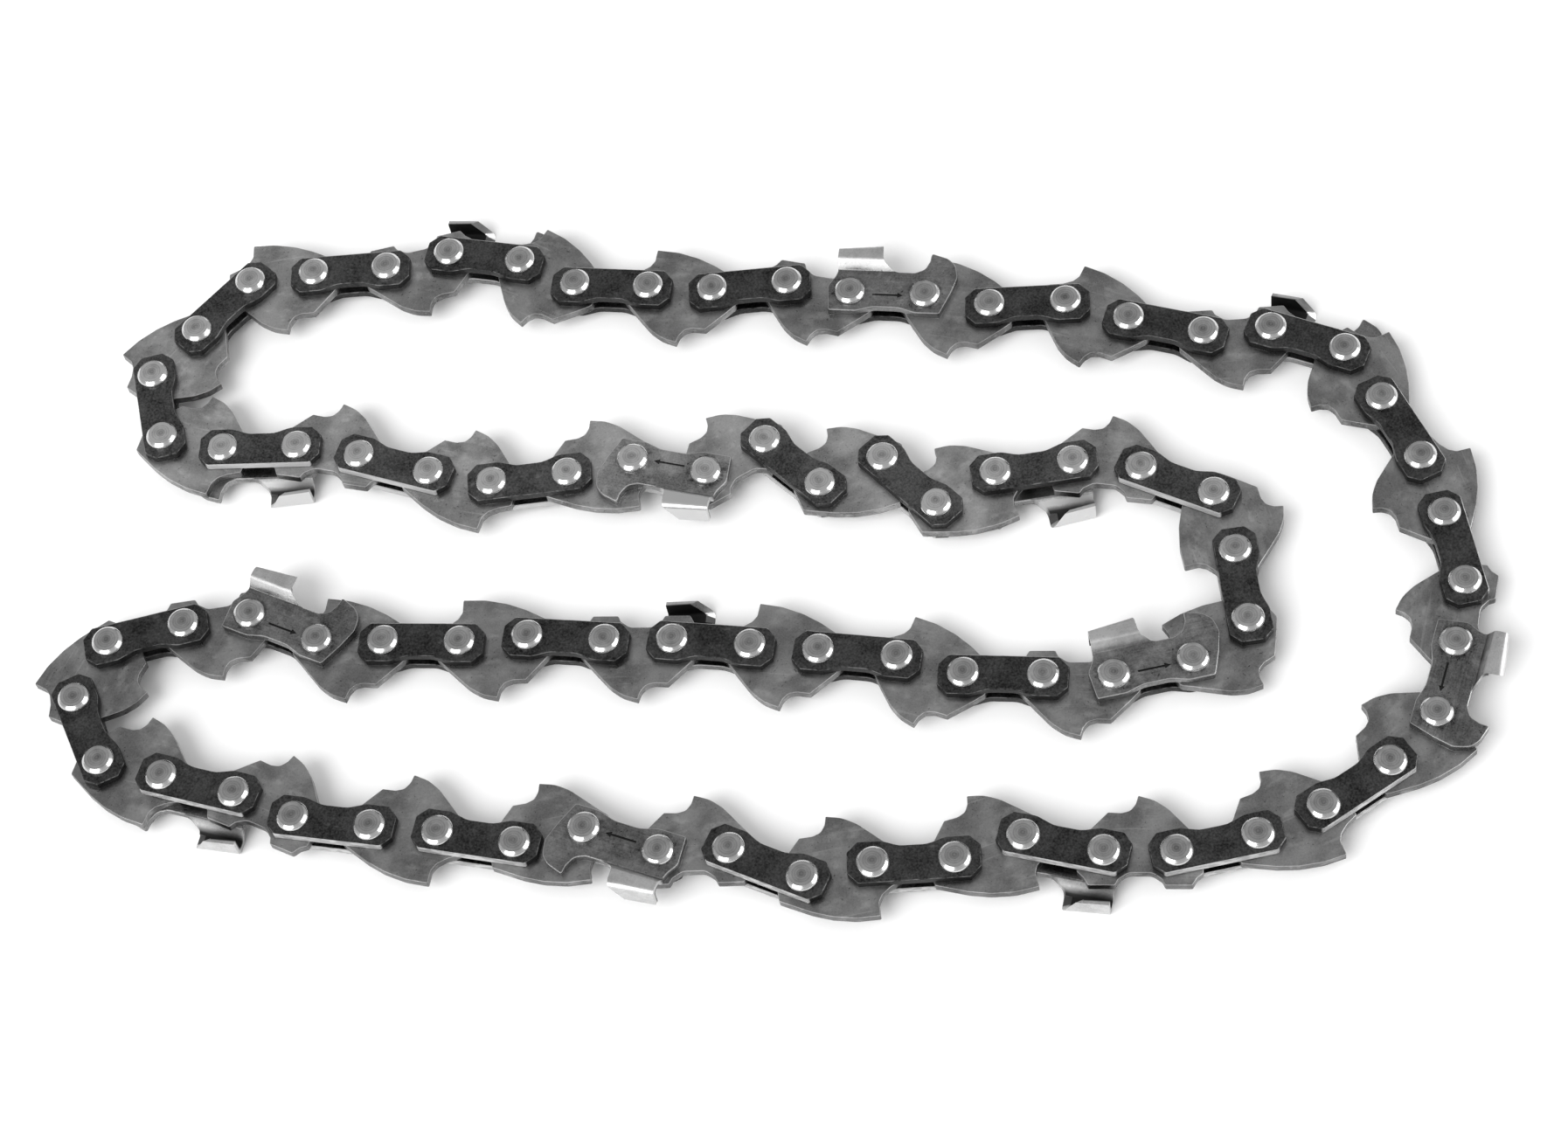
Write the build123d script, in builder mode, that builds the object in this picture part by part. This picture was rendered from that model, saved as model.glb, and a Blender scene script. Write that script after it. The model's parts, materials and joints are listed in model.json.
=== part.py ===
# Saw chain loop for a chainsaw: three-eighths inch low profile, forty drive links, lying on its side.
# A link is a pair of straps, or a strap and a cutter, with its two rivets and the drive link ahead of it.
# Forty links repeat, so rivets and round stretches have few flats, and the drive link is one with the
# strap rivet that it is drawn tight on. Its other end turns on the next link's rear rivet.
import os
from math import cos, radians, sin

from build123d import *

# Pitch and thickness
strap_pitch = 9.90  # between the two rivets of a strap or cutter
drive_pitch = 8.64  # between the two rivets of a drive link
gauge = 1.27  # drive link, and so the groove of the guide bar
plate = 1.10  # strap and cutter

# Rivets
head_radius = 2.08
head_height = 0.90
head_taper = 22  # bevel of the spun head, in degrees
head_sides = 8
pin_radius = 1.30
pin_sides = 6
pin_play = 0.06  # between a rivet and the flats of the hole that turns on it
open_pivot_play = 0.25  # the same where the loop joins up

# Strap, measured from the line through its rivets
strap_reach = 3.20  # past each rivet
strap_top = 2.60
strap_bottom = 2.90
strap_corner = 1.30
waist_width = 5.20  # bottom of the waist on the tang side
waist_rise = 0.80

# Drive link
lobe_reach = 2.95  # past each rivet
lobe_flat = 1.30  # top of the upright end, above the rivets
tang_depth = 7.80
tang_tip = 0.25  # ahead of the middle
hook_width = 3.75  # from the tip to the corner ahead of it
hook_rise = 2.30
hook_round = 1.50  # size of the rounded corner inside the hook
tang_root = 2.40  # where the tang leaves the lobes, below the rivets
belly = [(0.40, 0.64), (0.70, 0.90)]  # shares of the way from the rear to the tip, and of the depth
fin_height = 6.50
fin_back = 4.10  # upright rear edge of the fin, behind the middle
fin_foot = 3.00  # where the fin meets the front lobe
fin_toe = 1.80  # its front end, past the front rivet
fin_bow = [(0.70, 0.53), (0.34, 0.90)]  # shares of the way from the rear edge to the toe, and of the rise
fin_heel = 0.45  # share of the rise, where the upright rear edge ends
bump_height = 4.00  # plain drive link, over each rivet
bump_width = 3.20
saddle_height = 2.45
saddle_width = 3.00

# Cutter
cutter_heel = 2.65  # past the rear rivet
cutter_nose = 4.05  # past the front rivet
nose_height = 2.90
nose_toe = 1.80  # bottom corner, back from the nose
foot_height = 3.45  # where the tooth and the depth gauge rise from the side plate
tooth_back = 6.90  # behind the middle of the link
tooth_front = 0.80
tooth_rear_top = 6.10
tooth_front_top = 6.80
tooth_wall = 0.60
tooth_corner = 0.90  # bevel between the side and the top of the tooth
jog_rise = 1.00  # height over which the side steps out to the kerf
jog_inside = 0.20  # the inside of the step is this much higher
tooth_span = 0.05  # how far the top passes the middle of the chain
kerf_set = 0.65  # how far the side of the tooth stands out past the rivet heads
gauge_tip = 5.25  # ahead of the middle
gauge_height = 6.35
gauge_round = 2.20  # rounded front of the depth gauge
gauge_bow = [(0.25, 0.65), (0.80, 0.15)]  # shares of the round, back from the nose and down from the top
gauge_back = 1.00  # slope of its rear edge
gullet_drop = 0.10
cutter_spacing = 3  # links from one cutter to the next, on alternate sides

# The lie of the loop, read from the photograph: the heading of each strap and of the drive link ahead of it
upper_left = [(107, 56), (52, 10)]
back_row = [(6, 16), (353, 336), (358, 358), (7, 350), (358, 351), (4, 343), (348, 5), (342, 303)]
right_bend = [(300, 290), (285, 263), (257, 231), (218, 208)]
front_row = [(195, 182), (170, 202), (186, 194), (160, 184), (164, 195), (173, 177), (175, 159), (168, 168)]
lower_left = [(119, 70), (17, 11)]
inner_row = [(340, 0), (1, 7), (358, 2), (357, 357), (356, 346), (0, 2), (15, 41)]
inner_bend = [(101, 110), (159, 175)]
second_row = [(191, 213), (138, 207), (141, 214), (170, 195), (189, 171), (166, 172), (183, 169)]
lay = upper_left + back_row + right_bend + front_row + lower_left + inner_row + inner_bend + second_row

plate_face = gauge / 2 + plate
kerf_face = plate_face + head_height + kerf_set
half_strap = strap_pitch / 2
half_drive = drive_pitch / 2


def closed(headings, lengths):
    # the smallest change of heading, shared by all pieces, that brings the last rivet back to the first
    angles = [radians(h) for h in headings]
    for _ in range(8):
        runs = [(n * cos(a), n * sin(a)) for n, a in zip(lengths, angles)]
        gap_x, gap_y = sum(x for x, _ in runs), sum(y for _, y in runs)
        xx, yy = sum(y * y for _, y in runs), sum(x * x for x, _ in runs)
        xy = -sum(x * y for x, y in runs)
        pull_x = (gap_x * yy - gap_y * xy) / (xx * yy - xy * xy)
        pull_y = (gap_y * xx - gap_x * xy) / (xx * yy - xy * xy)
        angles = [a + pull_x * y - pull_y * x for a, (x, y) in zip(angles, runs)]
    return angles


def piece_planes():
    # one plane at the middle of each strap and each drive link in turn, X along the chain's travel
    lengths = [strap_pitch, drive_pitch] * len(lay)
    at, planes = Vector(0, 0, kerf_face), []
    for angle, length in zip(closed([h for pair in lay for h in pair], lengths), lengths):
        along = Vector(cos(angle), sin(angle), 0)
        planes.append(Plane(origin=at + along * (length / 2), x_dir=along, z_dir=(0, 0, 1)))
        at += along * length
    return planes


def strap_outline():
    end, waist = half_strap + strap_reach, waist_width / 2
    flat, foot = end - strap_corner, strap_corner - strap_bottom
    Polyline(
        *[(end, strap_top - strap_corner), (flat, strap_top), (-flat, strap_top)],
        *[(-end, strap_top - strap_corner), (-end, foot), (-flat, -strap_bottom)],
        *[(-waist, waist_rise - strap_bottom), (waist, waist_rise - strap_bottom)],
        *[(flat, -strap_bottom), (end, foot)],
        close=True,
    )


def drive_outline(finned):
    end = half_drive + lobe_reach
    corner, floor = tang_tip + hook_width, hook_rise - tang_depth
    tang = [(-end, -tang_root)]
    tang += [(along * (tang_tip + end) - end, -depth * tang_depth) for along, depth in belly]
    tang += [(tang_tip, -tang_depth), (tang_tip + hook_round / 3, floor - hook_round / 2)]
    tang += [(tang_tip + hook_round, floor), (corner, floor), (end, -tang_root), (end, lobe_flat)]
    if finned:
        rise, run = fin_height - fin_foot, half_drive + fin_toe + fin_back
        top = [(half_drive + fin_toe, fin_foot)]
        top += [(along * run - fin_back, fin_foot + share * rise) for along, share in fin_bow]
        top += [(-fin_back, fin_height), (-fin_back, fin_foot + fin_heel * rise)]
    else:
        near, far = half_drive - bump_width / 2, half_drive + bump_width / 2
        top = [(far, bump_height), (near, bump_height), (saddle_width / 2, saddle_height)]
        top += [(-saddle_width / 2, saddle_height), (-near, bump_height), (-far, bump_height)]
    Polyline(*tang, *top, (-end, lobe_flat), close=True)


def cutter_outline():
    heel, nose, waist = half_strap + cutter_heel, half_strap + cutter_nose, waist_width / 2
    bow = [(nose - back * gauge_round, gauge_height - down * gauge_round) for back, down in gauge_bow]
    Polyline(
        *[(-heel, -strap_bottom), (-waist, waist_rise - strap_bottom), (waist, waist_rise - strap_bottom)],
        *[(nose - nose_toe, -strap_bottom), (nose, nose_height)],
        *bow,
        *[(gauge_tip, gauge_height), (gauge_tip - gauge_back, foot_height)],
        *[(0, foot_height - gullet_drop), (-tooth_front, foot_height), (-tooth_back, foot_height)],
        close=True,
    )


def tooth_section(side):
    inner, outer, kerf = gauge / 2, plate_face, kerf_face
    step, top = foot_height + jog_rise, tooth_front_top
    section = [(foot_height, inner), (foot_height, outer), (step, kerf), (top - tooth_corner, kerf)]
    section += [(top, kerf - tooth_corner), (top, -tooth_span), (top - tooth_wall, -tooth_span)]
    section += [(top - tooth_wall, kerf - plate), (step + jog_inside, kerf - plate)]
    Polyline(*[(height, side * across) for height, across in section], close=True)


rivets = [(-half_strap, 0), (half_strap, 0)]
left, plain, right = -1, 0, 1


def rivet_heads():
    with BuildPart() as heads:
        with BuildSketch(Plane.XY.offset(plate_face)):
            with Locations(*rivets):
                RegularPolygon(head_radius, head_sides)
        extrude(amount=head_height, taper=head_taper)
        mirror(about=Plane.XY)
    return heads.part


def rivet_set(cutter_on):
    # two rivets with their straps, in the strap's own frame; a cutter takes the place of one strap
    with BuildPart() as strap_set:
        with BuildSketch(Plane.XY.offset(-gauge / 2)):
            with Locations(*rivets):
                RegularPolygon(pin_radius, pin_sides)
        extrude(amount=gauge)
        for side in (left, right):
            with BuildSketch(Plane.XY.offset(side * gauge / 2)):
                if side == cutter_on:
                    with Locations(*rivets):
                        RegularPolygon(pin_radius, pin_sides)
                else:
                    with BuildLine():
                        strap_outline()
                    make_face()
            extrude(amount=plate, dir=(0, 0, side))
        add(rivet_heads())
    return strap_set.part


def drive_link(finned, play):
    # solid round its rear rivet, with a hole that turns on the rivet ahead
    hole_radius = (pin_radius + play) / cos(radians(180 / pin_sides))
    with BuildPart() as drive:
        with BuildSketch(Plane.XY.offset(-gauge / 2)):
            with BuildLine():
                drive_outline(finned)
            make_face()
            with Locations((half_drive, 0)):
                RegularPolygon(hole_radius, pin_sides, mode=Mode.SUBTRACT)
        extrude(amount=gauge)
    return drive.part


def cutter(side):
    with BuildPart() as tooth:
        with BuildSketch(Plane.XY.offset(side * gauge / 2)):
            with BuildLine():
                cutter_outline()
            make_face()
            with Locations(*rivets):
                RegularPolygon(pin_radius, pin_sides, mode=Mode.SUBTRACT)
        extrude(amount=plate, dir=(0, 0, side))
        with BuildSketch(Plane.YZ.offset(-tooth_front)):
            with BuildLine():
                tooth_section(side)
            make_face()
        backwards = Vector(tooth_front - tooth_back, tooth_rear_top - tooth_front_top, 0)
        extrude(amount=backwards.length, dir=backwards.normalized())
    return tooth.part


def side_of(number):
    # links 4, 7, 10 and so on carry a cutter, on the left and the right in turn
    turn, spare = divmod(number - 1, cutter_spacing)
    if spare or not turn:
        return plain
    return right if turn % 2 == 0 else left


strap_sets = {side: rivet_set(side) for side in (left, plain, right)}
cutters = {side: cutter(side) for side in (left, right)}
drive_links = {finned: drive_link(finned, pin_play) for finned in (False, True)}
closing_link = drive_link(True, open_pivot_play)

planes = piece_planes()
pieces = []
for number in range(1, len(lay) + 1):
    strap_at, drive_at = planes[2 * number - 2].location, planes[2 * number - 1].location
    side = side_of(number)
    finned = side_of(number + 1) == plain  # a fin would strike the cutter ahead
    with BuildPart() as link:
        with Locations(strap_at):
            add(strap_sets[side])
        with Locations(drive_at):
            add(closing_link if number == len(lay) else drive_links[finned])
    link.part.label = f"link_{number:02d}"
    pieces.append(link.part)
    if side:
        with BuildPart() as tooth:
            with Locations(strap_at):
                add(cutters[side])
        tooth.part.label = f"{'left' if side == left else 'right'}_cutter_{number:02d}"
        pieces.append(tooth.part)

# the origin is below the middle of the loop, on the surface that it lies on
box = Compound(pieces).bounding_box()
centre = Location((-box.center().X, -box.center().Y, -box.min.Z))
os.makedirs("parts", exist_ok=True)
for piece in pieces:
    placed = piece.moved(centre)
    placed.label = piece.label
    export_step(placed, f"parts/{piece.label}.step")

print(len(pieces), "pieces, size", box.size)
for number, plane in enumerate(planes[::2], 1):
    rear = centre * Location(plane.from_local_coords((-half_strap, 0, 0)))
    print(f"rear rivet {number:02d} at {rear.position.X:.4f} {rear.position.Y:.4f}")
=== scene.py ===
# Saw chain loop: fine drive links, straps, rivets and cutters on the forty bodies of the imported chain.
# Shapes are in millimetres in each piece's own frame: X along the travel, Y towards the teeth, Z up.
import json
import random
from math import atan2, ceil, cos, exp, hypot, pi, radians, sin, tan

import bpy
from mathutils import Matrix, Vector
from mathutils.geometry import tessellate_polygon


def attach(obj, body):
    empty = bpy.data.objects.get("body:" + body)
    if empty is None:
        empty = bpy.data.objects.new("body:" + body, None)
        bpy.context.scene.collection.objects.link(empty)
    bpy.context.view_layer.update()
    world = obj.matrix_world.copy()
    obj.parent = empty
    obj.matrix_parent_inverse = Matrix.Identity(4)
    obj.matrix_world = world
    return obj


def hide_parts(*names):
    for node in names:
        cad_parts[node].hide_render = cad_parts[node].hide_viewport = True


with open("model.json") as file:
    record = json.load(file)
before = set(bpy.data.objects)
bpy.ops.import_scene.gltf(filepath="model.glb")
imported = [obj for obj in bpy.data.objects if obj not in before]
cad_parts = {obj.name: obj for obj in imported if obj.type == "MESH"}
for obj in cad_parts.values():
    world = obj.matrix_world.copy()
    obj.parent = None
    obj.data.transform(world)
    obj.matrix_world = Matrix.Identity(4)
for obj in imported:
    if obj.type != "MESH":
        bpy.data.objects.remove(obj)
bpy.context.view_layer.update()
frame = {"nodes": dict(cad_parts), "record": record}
random.seed(17)
millimetre = 0.001

# What several pieces share
chain = {
    "gauge": 1.24,  # thickness of a drive link
    "plateIn": 0.645,  # from the middle of the chain to the inner face of a strap
    "plateOut": 1.735,  # and to its outer face
    "halfStrap": 4.95,  # half the way from rivet to rivet along a strap
    "halfDrive": 4.32,  # and along a drive link
    "lightest": 0.62,  # no steel is lighter than this
}

# How finely the shapes are made
meshing = {
    "cornerStep": 11,  # degrees from point to point round a corner
    "cornerShare": 0.49,  # most of a side that one rounded corner takes up
    "cornerMove": 2.0,  # most that a corner moves, in times the inset
    "roll": 0.3,  # place of the middle of a rolled edge, as a share of its width
    "draft": 0.3,  # how much a pressed mark narrows, as a share of its depth
    "borePoints": 28,
    "rivetPoints": 40,
    "toothRows": 18,
    "lastRow": 0.985,  # place of the row behind a tooth's front, as a share of its length
    "toothSteps": 9,  # steps round each bend of a tooth
    "sharpAngle": 17,  # degrees between faces from which their edge stays sharp
}

# How points are marked for the paint; a rivet's points lie between flat and edge
# ground puts the ground front of a tooth mostly into the painted shade of its inside
rimAt = {"edge": 1.0, "flat": 0.0, "side": -1.0, "ground": -1.75, "inside": -2.0}


class Flow:
    # one output in a node tree; arithmetic on it adds Math nodes

    def __init__(self, tree, output):
        self.tree, self.output = tree, output

    def node(self, kind, settings, sockets, output=0):
        made = self.tree.nodes.new(kind)
        for name, value in settings.items():
            setattr(made, name, value)
        for name, value in sockets.items():
            if isinstance(value, Flow):
                self.tree.links.new(value.output, made.inputs[name])
            else:
                made.inputs[name].default_value = value
        return Flow(self.tree, made.outputs[output])

    def math(self, operation, *values):
        return self.node("ShaderNodeMath", {"operation": operation}, dict(enumerate(values)))

    def __add__(self, other):
        return self.math("ADD", self, other)

    def __radd__(self, other):
        return self.math("ADD", other, self)

    def __sub__(self, other):
        return self.math("SUBTRACT", self, other)

    def __rsub__(self, other):
        return self.math("SUBTRACT", other, self)

    def __mul__(self, other):
        return self.math("MULTIPLY", self, other)

    def __rmul__(self, other):
        return self.math("MULTIPLY", other, self)

    def above(self, least):
        return self.math("MAXIMUM", self, least)

    def below(self, most):
        return self.math("MINIMUM", self, most)

    def magnitude(self):
        return self.math("ABSOLUTE", self)

    def root(self):
        return self.math("SQRT", self)

    def sine(self):
        return self.math("SINE", self)

    def smooth(self, low, high, toLow=0.0, toHigh=1.0):
        settings = {"interpolation_type": "SMOOTHSTEP"}
        return self.node("ShaderNodeMapRange", settings, {0: self, 1: low, 2: high, 3: toLow, 4: toHigh})

    def grey(self):
        return self.node("ShaderNodeCombineColor", {}, {0: self, 1: self, 2: self})


def mixed(weights, marks):
    # the base, and each mark that is named beside it, by its weight
    total = weights["base"]
    for mark, weight in weights.items():
        if mark != "base":
            total = total + weight * marks[mark]
    return total


def mixedLooks(piece, marks):
    return [mixed(piece[look], marks) for look in ("tone", "roughness", "relief")]


def fromRivet(marks):
    # distance from the axis of the nearer rivet
    along, off = marks["x"].magnitude() - chain["halfStrap"], marks["y"]
    return (along * along + off * off).root()


def metal(name, piece, paint):
    # paint gets the marks: the place on the piece as x, y and z, what its points say and its noises;
    # it returns the tone, the roughness and the relief
    material = bpy.data.materials.new(name)
    material.use_nodes = True
    tree = material.node_tree
    shader = tree.nodes["Principled BSDF"]
    start = Flow(tree, None)

    def stored(attribute, output="Fac"):
        return start.node("ShaderNodeAttribute", {"attribute_name": attribute}, {}, output)

    place = stored("place", "Vector")
    rim, seed, paintedSheen, bare = (stored(attribute) for attribute in ("rim", "seed", "paintedSheen", "bare"))

    def noise(size, stretch=(1, 1, 1), detail=3.0, between=()):
        scaled = start.node("ShaderNodeMapping", {}, {0: place, "Scale": stretch})
        sockets = {"Vector": scaled, "W": seed, "Scale": 1 / size, "Detail": detail}
        plain = start.node("ShaderNodeTexNoise", {"noise_dimensions": "4D"}, sockets)
        return plain.smooth(*between) if between else plain - 0.5  # around 0

    marks = {axis: start.node("ShaderNodeSeparateXYZ", {}, {0: place}, axis.upper()) for axis in "xyz"}
    marks.update(rim=rim, bare=bare, edge=rim.above(0), side=(0 - rim).above(0))
    marks.update({mark: noise(**settings) for mark, settings in piece["noises"].items()})
    tone, roughness, relief = paint(marks)
    # the tone is multiplied by the painted sheen that lightens a stretch of links
    colour = (tone.above(piece["darkest"]) * paintedSheen).below(chain["lightest"]).grey()
    depth = piece["reliefDepth"] * millimetre
    bump = start.node("ShaderNodeBump", {}, {"Strength": 1.0, "Distance": depth, "Height": relief})
    for socket, value in (("Base Color", colour), ("Roughness", roughness), ("Normal", bump)):
        tree.links.new(value.output, shader.inputs[socket])
    shader.inputs["Metallic"].default_value = 1.0
    return material


def rounded(corners, closed=True, steps=0):
    # the line through the corners (x, y, radius), each one rounded; steps fixes how finely
    points, count = [], len(corners)
    for i, (x, y, radius) in enumerate(corners):
        here = Vector((x, y))
        if radius == 0 or (not closed and i in (0, count - 1)):
            points.append(here)
            continue
        back = Vector(corners[i - 1][:2]) - here
        ahead = Vector(corners[(i + 1) % count][:2]) - here
        turn = pi - back.angle(ahead)
        run = min(radius * tan(turn / 2), meshing["cornerShare"] * min(back.length, ahead.length))
        first, last = here + back.normalized() * run, here + ahead.normalized() * run
        parts = steps or max(2, ceil(turn / radians(meshing["cornerStep"])))
        for step in range(parts + 1):
            t = step / parts
            points.append(first * (1 - t) ** 2 + here * 2 * t * (1 - t) + last * t * t)
    return points


def inset(points, distance):
    # the closed line moved inwards; points run counter-clockwise
    moved, count = [], len(points)
    for i, here in enumerate(points):
        a = (here - points[i - 1]).normalized()
        b = (points[(i + 1) % count] - here).normalized()
        normal = Vector((-a.y - b.y, a.x + b.x)).normalized()
        facing = max(1 / meshing["cornerMove"], normal.dot(Vector((-a.y, a.x))))
        moved.append(here + normal * (distance / facing))
    return moved


class Shape:
    # points, their rim marks and faces

    def __init__(self):
        self.points, self.rims, self.faces = [], [], []

    def add(self, x, y, z, rim=rimAt["flat"]):
        self.points.append(Vector((x, y, z)))
        self.rims.append(rim)
        return len(self.points) - 1

    def circle(self, x, y, z, radius, count, rim):
        turns = [2 * pi * i / count for i in range(count)]
        return [self.add(x + radius * cos(t), y + radius * sin(t), z, rim) for t in turns]

    def bridge(self, first, second):
        for i in range(len(first)):
            self.faces.append((first[i - 1], first[i], second[i], second[i - 1]))

    def cover(self, loops, up):
        # flat faces inside the first loop and outside the others
        numbers = [n for loop in loops for n in loop]
        for triangle in tessellate_polygon([[self.points[n] for n in loop] for loop in loops]):
            a, b, c = (numbers[i] for i in triangle)
            rises = (self.points[b] - self.points[a]).cross(self.points[c] - self.points[a]).z > 0
            self.faces.append((a, b, c) if rises == up else (c, b, a))

    def plate(self, outline, low, high, edge, holes=(), mark=(), sunk=0.0):
        # a flat plate with rolled edges; holes are (x, y, radius),
        # and mark is the outline of a mark that is pressed into the top
        roll = meshing["roll"] * edge
        layers = [(edge, low, rimAt["flat"]), (roll, low + roll, rimAt["edge"])]
        layers.append((0, low + edge, rimAt["side"]))
        layers += [(inwards, high + low - z, rim) for inwards, z, rim in layers[::-1]]
        rings, bores = [], [[] for _ in holes]
        for inwards, z, rim in layers:
            rings.append([self.add(p.x, p.y, z, rim) for p in inset(outline, inwards)])
            for bore, (x, y, radius) in zip(bores, holes):
                bore.append(self.circle(x, y, z, radius + inwards, meshing["borePoints"], rim))
        for lower, upper in zip(rings, rings[1:]):
            self.bridge(lower, upper)
        for bore in bores:
            for lower, upper in zip(bore, bore[1:]):
                self.bridge(upper, lower)
        openings = [bore[-1] for bore in bores]
        if mark:
            brim = [self.add(p.x, p.y, high) for p in mark]
            bed = [self.add(p.x, p.y, high - sunk) for p in inset(mark, meshing["draft"] * sunk)]
            self.bridge(brim, bed)
            self.cover([bed], True)
            openings.append(brim)
        self.cover([rings[0]] + [bore[0] for bore in bores], False)
        self.cover([rings[-1]] + openings, True)

    def lathe(self, profile, x, y):
        # profile runs from the axis below to the axis above as (radius, z, rim)
        loops, count = [], meshing["rivetPoints"]
        for radius, z, rim in profile:
            if radius == 0:
                loops.append([self.add(x, y, z, rim)] * count)
            else:
                loops.append(self.circle(x, y, z, radius, count, rim))
        for lower, upper in zip(loops, loops[1:]):
            for i in range(count):
                corners = (lower[i - 1], lower[i], upper[i], upper[i - 1])
                self.faces.append(tuple(dict.fromkeys(corners)))

    def skin(self, outer, inner):
        # a closed shell between two grids of the same size; a grid is rows of (x, y, z, rim)
        front, back = ([[self.add(*p) for p in row] for row in grid] for grid in (outer, inner))
        for rows, flip in ((front, False), (back, True)):
            for a, b in zip(rows, rows[1:]):
                for i in range(len(a) - 1):
                    face = (a[i], b[i], b[i + 1], a[i + 1])
                    self.faces.append(face[::-1] if flip else face)
        lastRow, lastPoint = len(front) - 1, len(front[0]) - 1
        around = [(i, 0) for i in range(lastRow)] + [(lastRow, j) for j in range(lastPoint)]
        around += [(i, lastPoint) for i in range(lastRow, 0, -1)] + [(0, j) for j in range(lastPoint, 0, -1)]
        for (i, j), (k, m) in zip(around, around[1:] + around[:1]):
            self.faces.append((front[k][m], front[i][j], back[i][j], back[k][m]))

    def mirrored(self):
        flipped = Shape()
        flipped.points = [Vector((p.x, p.y, -p.z)) for p in self.points]
        flipped.rims = list(self.rims)
        flipped.faces = [face[::-1] for face in self.faces]
        return flipped

    def place(self, name, body, slot, material, origin, heading, seed, paintedSheen, bare):
        # a new piece with this shape at a place on the chain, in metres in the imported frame
        turn, count = Matrix.Rotation(heading, 4, "Z"), len(self.points)
        mesh = bpy.data.meshes.new(name)
        mesh.from_pydata([turn @ (p * millimetre) + origin for p in self.points], [], self.faces)
        values = {"place": ("FLOAT_VECTOR", "vector", [c for p in self.points for c in p])}
        values["rim"] = ("FLOAT", "value", self.rims)
        for key, number in (("seed", seed), ("paintedSheen", paintedSheen), ("bare", bare)):
            values[key] = ("FLOAT", "value", [number] * count)
        for key, (kind, field, numbers) in values.items():
            mesh.attributes.new(key, kind, "POINT").data.foreach_set(field, numbers)
        mesh.polygons.foreach_set("use_smooth", [True] * len(mesh.polygons))
        mesh.set_sharp_from_angle(angle=radians(meshing["sharpAngle"]))
        mesh.materials.append(material)
        piece = bpy.data.objects.new(name, mesh)
        bpy.context.scene.collection.objects.link(piece)
        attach(piece, body)
        return piece


# Drive links; the corners of an outline are (x, y, radius)
driveLink = {
    "edge": 0.09,
    "bore": 1.62,
    "tang": [  # the lower outline, from the rear end round the hooked tang to the front end
        (-7.5, 2.4, 0.3), (-7.5, -1.6, 0.8), (-6.46, -2.65, 1.5), (-5.0, -4.25, 4.0), (-3.27, -6.1, 4.0),
        (-1.6, -7.27, 4.0), (0.34, -7.85, 0.14), (0.62, -6.75, 1.2), (1.25, -5.86, 1.0), (2.3, -5.54, 1.2),
        (3.96, -5.62, 0.2), (6.5, -2.9, 1.2), (7.6, -1.6, 0.8), (7.6, 2.16, 0.3),
    ],
    "fin": [  # the back with a raised fin, from front to rear
        (5.9, 3.2, 1.6), (4.0, 4.36, 4.0), (1.6, 5.46, 4.0), (-1.2, 6.25, 4.0), (-4.1, 6.52, 0.2),
        (-4.2, 4.75, 0.8), (-4.75, 3.85, 0.8), (-5.9, 3.05, 1.5),
    ],
    "bumps": [  # the plain back with a hollow in its middle
        (6.75, 3.0, 0.8), (6.2, 3.98, 0.3), (2.98, 3.98, 0.3), (2.6, 3.2, 0.5), (1.4, 2.34, 1.5),
        (-1.4, 2.34, 1.5), (-2.6, 3.2, 0.5), (-2.98, 3.98, 0.3), (-6.2, 3.98, 0.3), (-6.75, 3.0, 0.8),
    ],
    "noises": {
        "cloud": {"size": 4.5, "detail": 5.0, "between": (0.34, 0.66, -0.5, 0.5)},
        "blotch": {"size": 1.2, "stretch": (0.6, 1, 1), "between": (0.5, 0.72)},
        "streak": {"size": 1.6, "stretch": (0.22, 1, 1)},
        "grain": {"size": 0.22, "detail": 2.0},
        "pit": {"size": 0.34, "detail": 1.0, "between": (0.66, 0.74)},
        "scratch": {"size": 0.9, "stretch": (0.12, 2.4, 1), "detail": 1.0, "between": (0.66, 0.74)},
    },
    # the side weight darkens the side faces as painted shade
    "tone": {
        "base": 0.265, "cloud": 0.15, "blotch": 0.10, "streak": 0.12, "grain": 0.16,
        "pit": -0.10, "scratch": 0.07, "edge": 0.26, "side": -0.12,
    },
    "darkest": 0.03,
    "roughness": {"base": 0.38, "cloud": 0.16, "grain": 0.14, "blotch": -0.08},
    "relief": {"base": 0.0, "blotch": 0.15, "streak": 0.15, "grain": 0.3, "pit": -0.5},
    "reliefDepth": 0.03,
}


def drivePaint(marks):
    return mixedLooks(driveLink, marks)


def driveShape(finned):
    shape = Shape()
    outline = rounded(driveLink["tang"] + driveLink["fin" if finned else "bumps"])
    hole = (chain["halfDrive"], 0, driveLink["bore"])
    shape.plate(outline, -chain["gauge"] / 2, chain["gauge"] / 2, driveLink["edge"], [hole])
    return shape


driveSteel = metal("driveLinkSteel", driveLink, drivePaint)
driveShapes = {finned: driveShape(finned) for finned in (True, False)}
print("stage: drive link shapes made")

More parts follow.
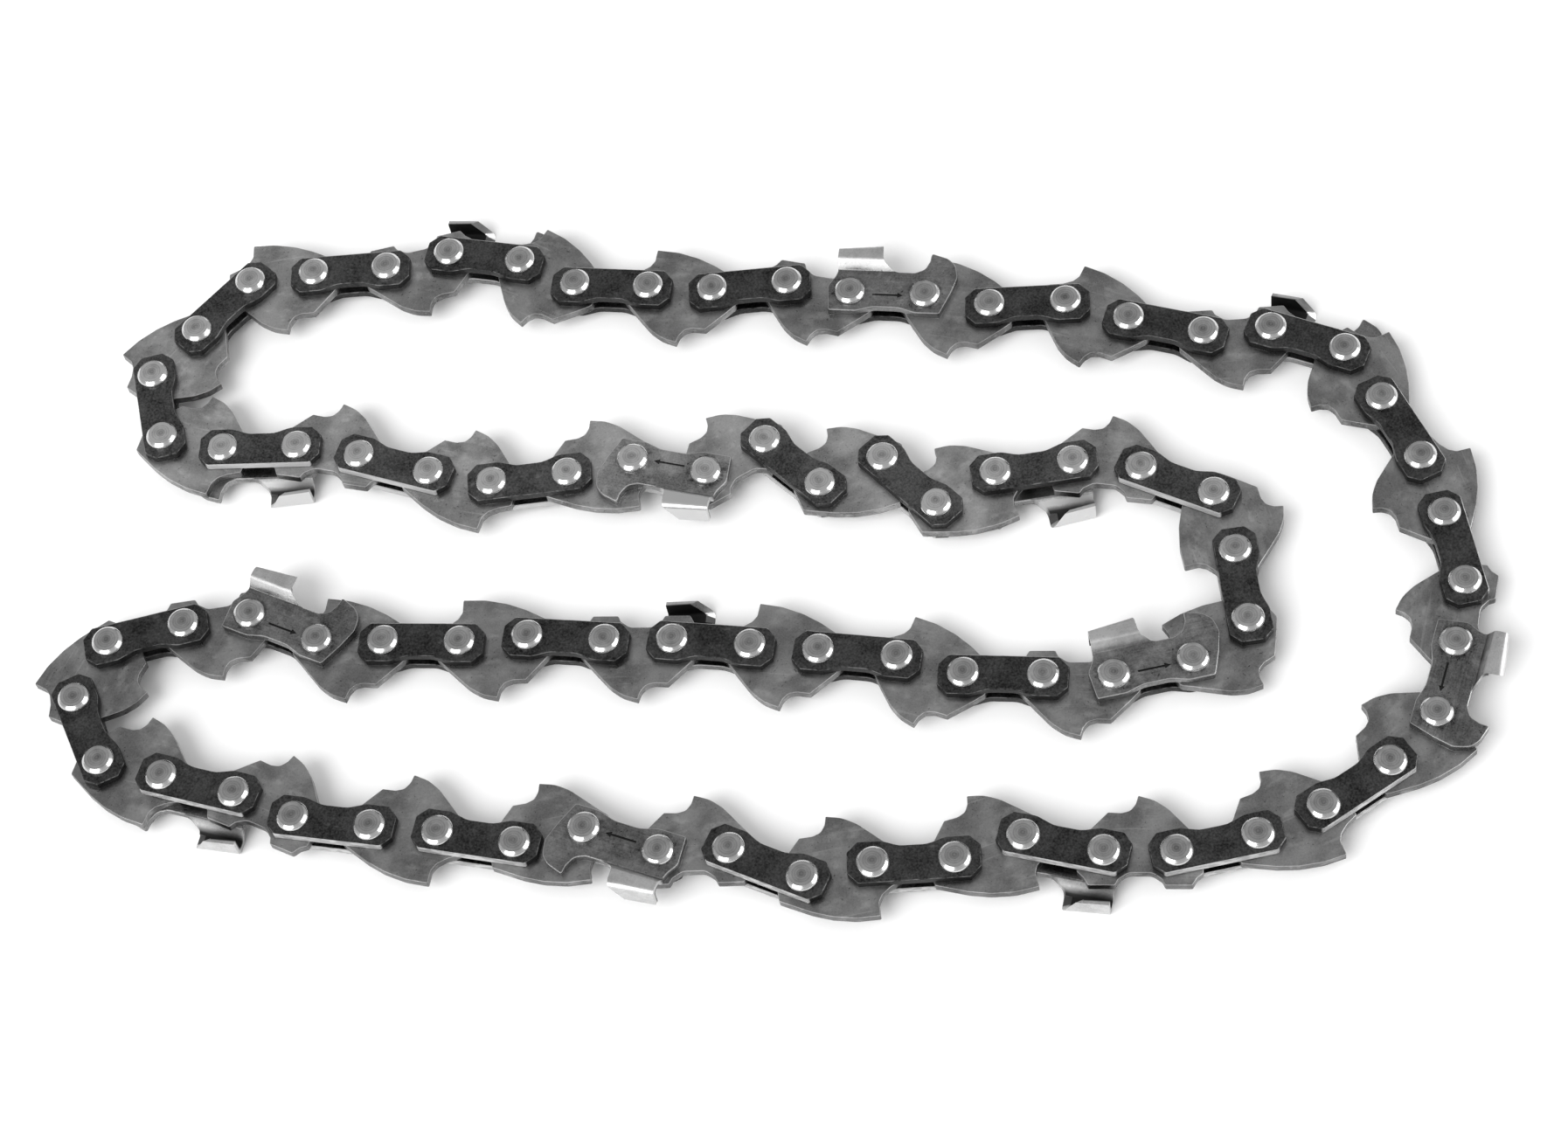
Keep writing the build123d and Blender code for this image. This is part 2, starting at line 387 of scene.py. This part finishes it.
# Straps
strap = {
    "edge": 0.13,
    "outline": [
        (8.1, 1.25, 0.3), (6.8, 2.6, 0.35), (-6.8, 2.6, 0.35), (-8.1, 1.25, 0.3), (-8.1, -1.6, 0.3),
        (-6.8, -2.9, 0.35), (-3.9, -2.9, 2.0), (-1.7, -2.12, 3.0), (1.7, -2.12, 3.0), (3.9, -2.9, 2.0),
        (6.8, -2.9, 0.35), (8.1, -1.6, 0.3),
    ],
    "noises": {
        "cloud": {"size": 3.0, "detail": 5.0, "between": (0.32, 0.68, -0.5, 0.5)},
        "grain": {"size": 0.26},
        "scuff": {"size": 0.8, "stretch": (0.5, 1, 1), "detail": 2.0, "between": (0.62, 0.8)},
        "nick": {"size": 0.5, "stretch": (0.4, 1, 1), "detail": 2.0, "between": (0.42, 0.6)},
    },
    "tone": {"base": 0.065, "cloud": 0.0416, "grain": 0.17, "scuff": 0.06},
    "darkest": 0.012,
    "sideShade": 0.5,
    "worn": 0.19,
    "backEdge": (2.3, 2.5),  # heights between which the straight back edge, sheared bright, begins
    "bright": 0.60,
    "spread": 3,  # how far the bright edge takes in its rolled corners
    "nicked": 0.32,
    "darkEdged": (1, 2, 17, 23, 32, 34, 35, 36, 38),  # links whose upper strap has a dark back edge
    "roughness": {"base": 0.42, "cloud": 0.14, "grain": 0.18, "scuff": -0.08},
    "shearedRoughness": 0.4,
    "relief": {"base": 0.0, "cloud": 0.2, "grain": 0.5, "scuff": -0.2},
    "reliefDepth": 0.04,
}


def strapPaint(marks):
    lowerStrap = marks["z"].smooth(-chain["plateIn"], chain["plateIn"], 1.0, 0.0)
    straight = marks["y"].smooth(*strap["backEdge"]) * marks["bare"].above(lowerStrap)
    sheared = (strap["spread"] * marks["rim"].magnitude()).below(1) * straight
    tone, roughness, relief = mixedLooks(strap, marks)
    tone = tone * (1 - strap["sideShade"] * marks["side"]) + strap["worn"] * marks["edge"] * marks["nick"]
    tone = tone + strap["bright"] * sheared * (1 - strap["nicked"] * (1 - marks["nick"]))
    return tone, roughness + strap["shearedRoughness"] * sheared, relief


def strapShape(sides):
    shape = Shape()
    for side in sides:
        low, high = sorted((side * chain["plateIn"], side * chain["plateOut"]))
        shape.plate(rounded(strap["outline"]), low, high, strap["edge"])
    return shape


strapSteel = metal("strapSteel", strap, strapPaint)
# by the side of the link's cutter: both straps where it has none, and else the one on the other side
strapShapes = {0: strapShape((-1, 1)), -1: strapShape((1,)), 1: strapShape((-1,))}
print("stage: strap shapes made")

# Rivets
rivet = {
    "shaft": 1.34,
    "profile": [  # of a head from the strap to the dimple in its top: radius, height over the strap and wear
        (2.05, 0.0, 0.0), (2.08, 0.10, 0.2), (2.08, 0.34, 0.4), (2.04, 0.46, 1.0), (1.96, 0.58, 1.0),
        (1.72, 0.80, 1.0), (1.64, 0.87, 1.0), (1.54, 0.90, 0.3), (1.46, 0.90, 0.0), (0.62, 0.90, 0.0),
        (0.5, 0.87, 0.0), (0.3, 0.86, 0.0), (0, 0.86, 0.0),
    ],
    "noises": {"cloud": {"size": 1.3, "detail": 4.0}, "grain": {"size": 0.12, "detail": 2.0}},
    "ringTurn": 21,  # turning marks, in radians for each millimetre outwards
    "middle": (0.25, 0.75),  # radii between which the dark middle ends
    "spun": (1.1, 1.5),  # radii between which the lighter spun band begins
    "darkReflection": ((1.44, 1.54), (1.60, 1.68)),  # radii between which the painted dark reflection round the flat top begins, and ends
    "tone": {
        "base": 0.36, "cloud": 0.34, "rings": 0.03, "grain": 0.16,
        "middle": -0.12, "spun": 0.12, "darkReflection": -0.16, "edge": 0.14,
    },
    "darkest": 0.0,
    "roughness": {"base": 0.27, "cloud": 0.22, "rings": 0.04, "edge": -0.06},
    "relief": {"base": 0.0, "rings": 0.1, "cloud": 0.3, "grain": 0.2},
    "reliefDepth": 0.02,
}
rivetTop = chain["plateOut"] + max(height for _, height, _ in rivet["profile"])


def rivetPaint(marks):
    radius = fromRivet(marks)
    begins, ends = rivet["darkReflection"]
    marks["rings"] = (rivet["ringTurn"] * radius).sine()
    marks["middle"] = radius.smooth(*rivet["middle"], 1.0, 0.0)
    marks["spun"] = radius.smooth(*rivet["spun"])
    # painted dark reflection in a ring round the flat top of the head
    marks["darkReflection"] = radius.smooth(*begins) * radius.smooth(*ends, 1.0, 0.0)
    return mixedLooks(rivet, marks)


def rivetShape():
    shape = Shape()
    out = chain["plateOut"]
    upper = [(radius, out + height, wear) for radius, height, wear in rivet["profile"]]
    lower = [(radius, -z, wear) for radius, z, wear in upper[::-1]]
    shaft = [(rivet["shaft"], z, rimAt["flat"]) for z in (-out, out)]
    for side in (-1, 1):
        shape.lathe(lower + shaft + upper, side * chain["halfStrap"], 0)
    return shape


rivetSteel = metal("rivetSteel", rivet, rivetPaint)
rivetPair = rivetShape()
print("stage: rivet shape made")

# Cutters: a side plate with a depth gauge ahead, and a tooth behind it
cutter = {
    "edge": 0.15,
    "outline": [
        (-7.6, -2.85, 0.4), (-3.9, -2.85, 2.0), (-1.7, -2.15, 3.0), (1.7, -2.15, 3.0), (3.9, -2.85, 2.0),
        (7.15, -2.85, 0.4), (8.3, 0.3, 3.0), (8.98, 2.9, 1.5), (8.5, 4.95, 2.0), (7.4, 5.85, 2.0),
        (5.2, 6.55, 0.34), (5.1, 5.3, 1.0), (4.55, 4.0, 1.2), (3.3, 3.4, 1.2), (-6.85, 3.4, 0.4),
        (-7.15, 2.4, 1.0), (-8.0, 0.9, 1.2),
    ],
    "arrow": (-2.0, 1.35, 2.1, -0.25),  # x of its tail, neck and tip, and y of its line
    "arrowWidths": (0.125, 0.375),  # half widths of its stem and head
    "arrowDepth": 0.10,
    "arrowFade": (0.04, 0.1),  # how softly its dark tone ends beside it and along it
    "foot": 3.05,  # height where the tooth begins in the side plate
    "tuck": 0.02,  # how far it lies inside the faces of the side plate there
    "step": (3.40, 4.40),  # heights between which it steps out
    "innerStep": (0.10, 0.15),  # how much higher its inside does
    "back": -6.88,
    "front": -0.98,
    "rearTop": 6.08,
    "frontTop": 6.82,
    "set": 0.64,  # how far it stands out over the rivets
    "span": -0.05,  # where its top ends across the chain
    "topWall": 0.58,
    "sideWall": 0.90,
    "bends": (0.9, 1.1, 0.5),  # radii at the step, at the top corner outside and at that inside
    "gullet": (1.75, 3.40, 0.45),  # how far the front reaches ahead at a height, and how that fades above it
    "topFrom": 0.5,  # height over the step from which the front slants back across the top
    "slant": 1.95,
    "grind": 0.80,  # how far the inside lies behind the cutting edge
    "sideGrind": 0.25,  # share of that on the side
    "brow": 0.1,  # how far under the top wall the ground front starts taking the painted shade and roughness of the inside
    "noises": {
        "cloud": {"size": 4.0, "detail": 5.0, "between": (0.34, 0.66, -0.5, 0.5)},
        "blotch": {"size": 1.3, "between": (0.5, 0.72)},
        "grain": {"size": 0.22, "detail": 2.0},
        "pit": {"size": 0.36, "detail": 1.0, "between": (0.66, 0.74)},
        "brushed": {"size": 0.5, "stretch": (0.08, 3.0, 1), "detail": 2.0},
        "dirt": {"size": 0.9, "between": (0.4, 0.62)},
    },
    "grimeAndShadeRing": (2.1, 3.0),  # radii round a rivet between which the grime and painted contact shade end
    "toothFoot": (3.3, 4.0),  # heights between which the tone of the tooth begins
    "toothFront": (0.6, 1.4),  # places between which it ends ahead
    "slopeTop": (4.2, 4.7),  # heights between which the slope of the step ends
    "insideShadeFoot": (3.9, 4.6),  # heights between which the painted shade inside the tooth begins
    # the edge weight lightens the rolled edges: wear, with a painted highlight along them
    "tone": {
        "base": 0.185, "tooth": 0.365, "cloud": 0.11, "blotch": 0.08, "brushed": 0.14,
        "grain": 0.24, "pit": -0.09, "arrow": -0.22, "grimeAndShade": -0.09, "edge": 0.42,
    },
    # tone of the painted shade inside the tooth
    "insideShadeTone": 0.035,
    "darkest": 0.03,
    "roughness": {"base": 0.34, "cloud": 0.14, "brushed": 0.1, "grimeAndShade": 0.15, "inside": 0.3, "slope": 0.1},
    "relief": {"base": 0.0, "blotch": 0.15, "brushed": 0.15, "grain": 0.3, "pit": -0.5},
    "reliefDepth": 0.03,
    "toothSmoothness": 0.8,  # share of the relief that the tooth lacks
}


def cutterPaint(marks):
    x, y = marks["x"], marks["y"]
    tail, neck, tip, line = cutter["arrow"]
    stem, barb = cutter["arrowWidths"]
    beside, along = cutter["arrowFade"]
    off = (y - line).magnitude()
    shaft = x.smooth(tail, tail + along) * x.smooth(neck, neck + along, 1.0, 0.0)
    shaft = shaft * off.smooth(stem - beside, stem + beside, 1.0, 0.0)
    point = (off - (tip - x) * (barb / (tip - neck))).smooth(-beside, beside, 1.0, 0.0)
    marks["arrow"] = shaft.above(point * x.smooth(neck - beside, neck + beside))
    # grime, with painted contact shade, round the rivet heads
    marks["grimeAndShade"] = fromRivet(marks).smooth(*cutter["grimeAndShadeRing"], 1.0, 0.0) * marks["dirt"]
    marks["tooth"] = y.smooth(*cutter["toothFoot"]) * x.smooth(*cutter["toothFront"], 1.0, 0.0)
    marks["slope"] = marks["tooth"] * y.smooth(*cutter["slopeTop"], 1.0, 0.0)
    marks["inside"] = marks["rim"].smooth(rimAt["inside"], rimAt["side"], 1.0, 0.0)
    # painted shade inside the tooth, also over most of its ground front
    hollow = marks["inside"] * y.smooth(*cutter["insideShadeFoot"])
    tone, roughness, relief = mixedLooks(cutter, marks)
    tone = tone * (1 - hollow) + cutter["insideShadeTone"] * hollow
    return tone, roughness, relief * (1 - cutter["toothSmoothness"] * marks["tooth"])


def arrowOutline():
    tail, neck, tip, line = cutter["arrow"]
    stem, barb = cutter["arrowWidths"]
    half = [(tail, stem), (neck, stem), (neck, barb), (tip, 0)]
    below = [Vector((x, line - off)) for x, off in half]
    return below + [Vector((x, line + off)) for x, off in half[2::-1]]


def toothGrids():
    # outside and inside of the tooth: rows of points along its section, from its back to its ground front
    foot, (low, high) = cutter["foot"], cutter["step"]
    innerLow, innerHigh = (height + more for height, more in zip(cutter["step"], cutter["innerStep"]))
    plateIn, plateOut = chain["plateIn"] + cutter["tuck"], chain["plateOut"] - cutter["tuck"]
    kerf = rivetTop + cutter["set"]
    hollow, span = kerf - cutter["sideWall"], cutter["span"]
    bend, corner, innerCorner = cutter["bends"]
    reach, gulletAt, fade = cutter["gullet"]
    back, front, slant = cutter["back"], cutter["front"], cutter["slant"]
    climb = cutter["frontTop"] - cutter["rearTop"]
    outside = [(foot, plateOut, 0), (low, plateOut, bend), (high, kerf, bend)]
    inside = [(foot, plateIn, 0), (innerLow, plateIn, bend), (innerHigh, hollow, bend)]
    rows = [row / meshing["toothRows"] for row in range(meshing["toothRows"])] + [meshing["lastRow"], 1.0]
    grids, grinds, rims = ([], []), (0, cutter["grind"]), (rimAt["flat"], rimAt["inside"])
    for t in rows:
        top = cutter["rearTop"] + climb * t
        under = top - cutter["topWall"]
        sections = (
            outside + [(top, kerf, corner), (top, span, 0)],
            inside + [(under, hollow, innerCorner), (under, span, 0)],
        )
        for grid, section, grind, rim in zip(grids, sections, grinds, rims):
            row = []
            for height, across in rounded(section, closed=False, steps=meshing["toothSteps"]):
                over = (kerf - across) / (kerf - span) if height > high + cutter["topFrom"] else 0.0
                stepped = min(1.0, max(0.0, (height - low) / (high - low)))
                share = cutter["sideGrind"] + (1 - cutter["sideGrind"]) * min(1.0, 2 * over)
                ahead = reach * exp((gulletAt - height) / fade)
                end = front + ahead - slant * over - grind * stepped * share
                fallen = climb / (front - back) * slant * over * t
                if t == 1:
                    rim = rimAt["ground"] if height < under - cutter["brow"] else rimAt["flat"]
                row.append((back + (end - back) * t, height - fallen, across, rim))
            grid.append(row)
    return grids


def cutterShape():
    # the right cutter; the left one is its mirror image
    shape = Shape()
    outline = rounded(cutter["outline"])
    faces = chain["plateIn"], chain["plateOut"]
    shape.plate(outline, *faces, cutter["edge"], mark=arrowOutline(), sunk=cutter["arrowDepth"])
    shape.skin(*toothGrids())
    return shape


cutterSteel = metal("cutterSteel", cutter, cutterPaint)
rightCutter = cutterShape()
cutterShapes = {1: rightCutter, -1: rightCutter.mirrored()}
print("stage: cutter shapes made")

# The forty links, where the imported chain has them
loop = {
    "headsApart": 12.5,  # the rear head of a link is further than this from the next link's rear rivet
    "headFlatness": 0.01,  # how near to the top the points of the heads' upper faces are
    "seeds": 90,  # the noises of a link start somewhere up to this
    "brightest": 38,  # link in the middle of the stretch with a painted sheen
    "brightRun": 5.5,  # links from there to its ends
    "brightFall": 4,  # how suddenly it ends
    "bright": 0.5,  # how much brighter the painted sheen makes it
}


def rivetPlaces(number, ahead):
    # rear and front rivet of a link: the middles of the upper faces of its two heads;
    # ahead is the next link's rear rivet
    points = [v.co for v in frame["nodes"][f"link_{number:02d}"].data.vertices]
    top = max(p.z for p in points)
    heads = [p for p in points if p.z > top - loop["headFlatness"] * millimetre]
    far = [p for p in heads if hypot(p.x - ahead.x, p.y - ahead.y) > loop["headsApart"] * millimetre]
    near = [p for p in heads if p not in far]
    return [(Vector(map(min, zip(*g))) + Vector(map(max, zip(*g)))) / 2 for g in (far, near)]


def between(a, b):
    # middle and heading of the piece that joins two rivets
    return Vector(((a.x + b.x) / 2, (a.y + b.y) / 2, middleHeight)), atan2(b.y - a.y, b.x - a.x)


behaviour = frame["record"]["behaviour"]
middleHeight = behaviour["joints"][0]["pos_m"][2]
rears = {joint["child"]: Vector(joint["pos_m"]) for joint in behaviour["joints"]}
rears["pitch_01"] = rivetPlaces(1, rears["pitch_02"])[0]
count = len(rears)
places = [rivetPlaces(n, rears[f"pitch_{n % count + 1:02d}"]) for n in range(1, count + 1)]
cutters = {}  # node and side of each link's cutter: 1 for right, -1 for left and 0 for none
for body, nodes in behaviour["bodies"].items():
    node = next((n for n in nodes if "cutter" in n), "")
    cutters[int(body[-2:])] = node, node.startswith("right") - node.startswith("left")

for number, (rear, front) in enumerate(places, 1):
    tag, seed = f"{number:02d}", random.uniform(0, loop["seeds"])
    body = f"pitch_{tag}"
    # painted sheen: a stretch of links is made lighter
    away = (number - loop["brightest"] + count / 2) % count - count / 2
    paintedSheen = 1 + loop["bright"] * exp(-((away / loop["brightRun"]) ** loop["brightFall"]))
    look = seed, paintedSheen, float(number not in strap["darkEdged"])
    ahead = places[number % count][0]
    node, side = cutters[number]
    finned = cutters[number % count + 1][1] == 0
    strapAt, driveAt = between(rear, front), between(front, ahead)
    link = driveShapes[finned].place(f"driveLink{tag}", body, "link_steel", driveSteel, *driveAt, *look)
    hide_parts(f"link_{tag}")
    strapShapes[side].place(f"straps{tag}", body, "strap_steel", strapSteel, *strapAt, *look)
    rivetPair.place(f"rivets{tag}", body, "rivet_steel", rivetSteel, *strapAt, *look)
    if side:
        name = f"{'right' if side > 0 else 'left'}Cutter{tag}"
        fine = cutterShapes[side].place(name, body, "cutter_steel", cutterSteel, *strapAt, *look)
        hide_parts(node)
print("stage: forty links placed")

# Floor, light and camera
studio = {
    "floor": 0.93,
    "floorSize": 8,
    "floorRoughness": 0.9,
    "sky": 0.77,
    "mirrored": 0.55,  # strength of the sky in reflections
    "sun": 2.55,
    "sunSoftness": 42,
    "sunFrom": (-124, 46),  # azimuth and elevation
    "glints": {"rightGlint": ((-3, 22), 0.42), "frontGlint": ((-116, 25), 0.44)},  # where from, and width
    "glint": 10.8,  # watts for each square metre
    "lampDistance": 0.55,
}

bpy.ops.mesh.primitive_plane_add(size=studio["floorSize"])
floor = bpy.context.object
floor.name = "floor"
paper = bpy.data.materials.new("paper")
paper.use_nodes = True
paperShader = paper.node_tree.nodes["Principled BSDF"]
paperShader.inputs["Base Color"].default_value = (studio["floor"],) * 3 + (1,)
paperShader.inputs["Roughness"].default_value = studio["floorRoughness"]
paperShader.inputs["Specular IOR Level"].default_value = 0.0
floor.data.materials.append(paper)

world = bpy.data.worlds.new("studio")
bpy.context.scene.world = world
world.use_nodes = True
sky = Flow(world.node_tree, None)
seen = sky.node("ShaderNodeLightPath", {}, {}, "Is Camera Ray")
mirrored = sky.node("ShaderNodeLightPath", {}, {}, "Is Glossy Ray")
strength = studio["sky"] + (1 - studio["sky"]) * seen - (studio["sky"] - studio["mirrored"]) * mirrored
background = world.node_tree.nodes["Background"]
world.node_tree.links.new(strength.output, background.inputs["Strength"])
background.inputs["Color"].default_value = (1, 1, 1, 1)


def direction(azimuth, elevation):
    a, e = radians(azimuth), radians(elevation)
    return Vector((cos(a) * cos(e), sin(a) * cos(e), sin(e)))


def lamp(name, kind, energy, source):
    light = bpy.data.lights.new(name, kind)
    light.energy = energy
    holder = bpy.data.objects.new(name, light)
    holder.location = direction(*source) * studio["lampDistance"]
    holder.rotation_euler = direction(*source).to_track_quat("Z", "Y").to_euler()
    bpy.context.scene.collection.objects.link(holder)
    return holder


sun = lamp("sun", "SUN", studio["sun"], studio["sunFrom"])
sun.data.angle = radians(studio["sunSoftness"])
sun.visible_glossy = False
for name, (source, size) in studio["glints"].items():
    glint = lamp(name, "AREA", studio["glint"] * size**2, source)
    glint.data.size = size
    glint.visible_diffuse = False

lens = {
    "target": (1.98, -0.92, 0.92),
    "azimuth": 17.10,
    "elevation": 59.79,
    "roll": -13.72,
    "distance": 476.3,
    "focal": 86.0,
    "sensor": 36,
    "clip": (0.01, 20),  # metres
}
eye = bpy.data.cameras.new("camera")
eye.lens, eye.sensor_width = lens["focal"], lens["sensor"]
eye.clip_start, eye.clip_end = lens["clip"]
camera = bpy.data.objects.new("camera", eye)
back = direction(lens["azimuth"] - 90, lens["elevation"])
camera.location = (Vector(lens["target"]) + back * lens["distance"]) * millimetre
facing = back.to_track_quat("Z", "Y").to_matrix().to_4x4()
camera.rotation_euler = (facing @ Matrix.Rotation(radians(lens["roll"]), 4, "Z")).to_euler()
bpy.context.scene.collection.objects.link(camera)
bpy.context.scene.camera = camera
bpy.context.scene.view_settings.view_transform = "Standard"
print("stage: floor, light and camera set")
